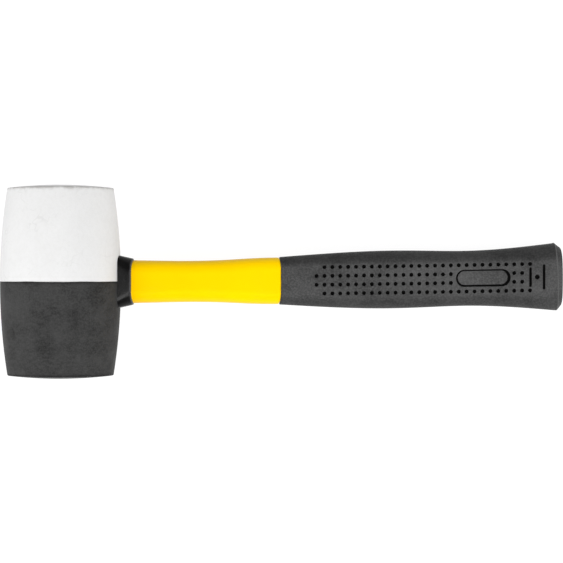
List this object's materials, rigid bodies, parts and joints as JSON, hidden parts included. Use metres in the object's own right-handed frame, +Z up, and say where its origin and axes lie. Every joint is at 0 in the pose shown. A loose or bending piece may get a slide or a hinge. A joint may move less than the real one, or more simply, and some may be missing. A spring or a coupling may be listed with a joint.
{
  "type": "rubber mallet",
  "caption": "Barrel-headed rubber mallet with a white face and a black face, on a jacketed fibreglass handle with a dimpled soft grip.",
  "frame": {"origin": "on the bench that the mallet lies on, under the middle of its bounding box", "axes": "+X along the handle from head to butt, +Y along the head from the black face to the white face, +Z up. The mallet rests on the barrel's belly and the lower edge of the butt, so the handle's own axis dips by 4.15 degrees from +X"},
  "size_m": [0.349, 0.1202, 0.075],
  "materials": {
    "white_rubber": "matte",
    "black_rubber": "matte, dusty",
    "collar_plastic": "glossy",
    "yellow_plastic": "glossy",
    "grip_rubber": "fine matte grain",
    "fibreglass": "pultruded strands in resin",
    "resin": "cast"
  },
  "bodies": {
    "root": {"white_head_half": "white_rubber", "black_head_half": "black_rubber", "eye_collar": "collar_plastic", "handle_jacket": "yellow_plastic", "grip_sleeve": "grip_rubber", "fibreglass_core": "fibreglass", "eye_resin": "resin"}
  },
  "joints": []
}
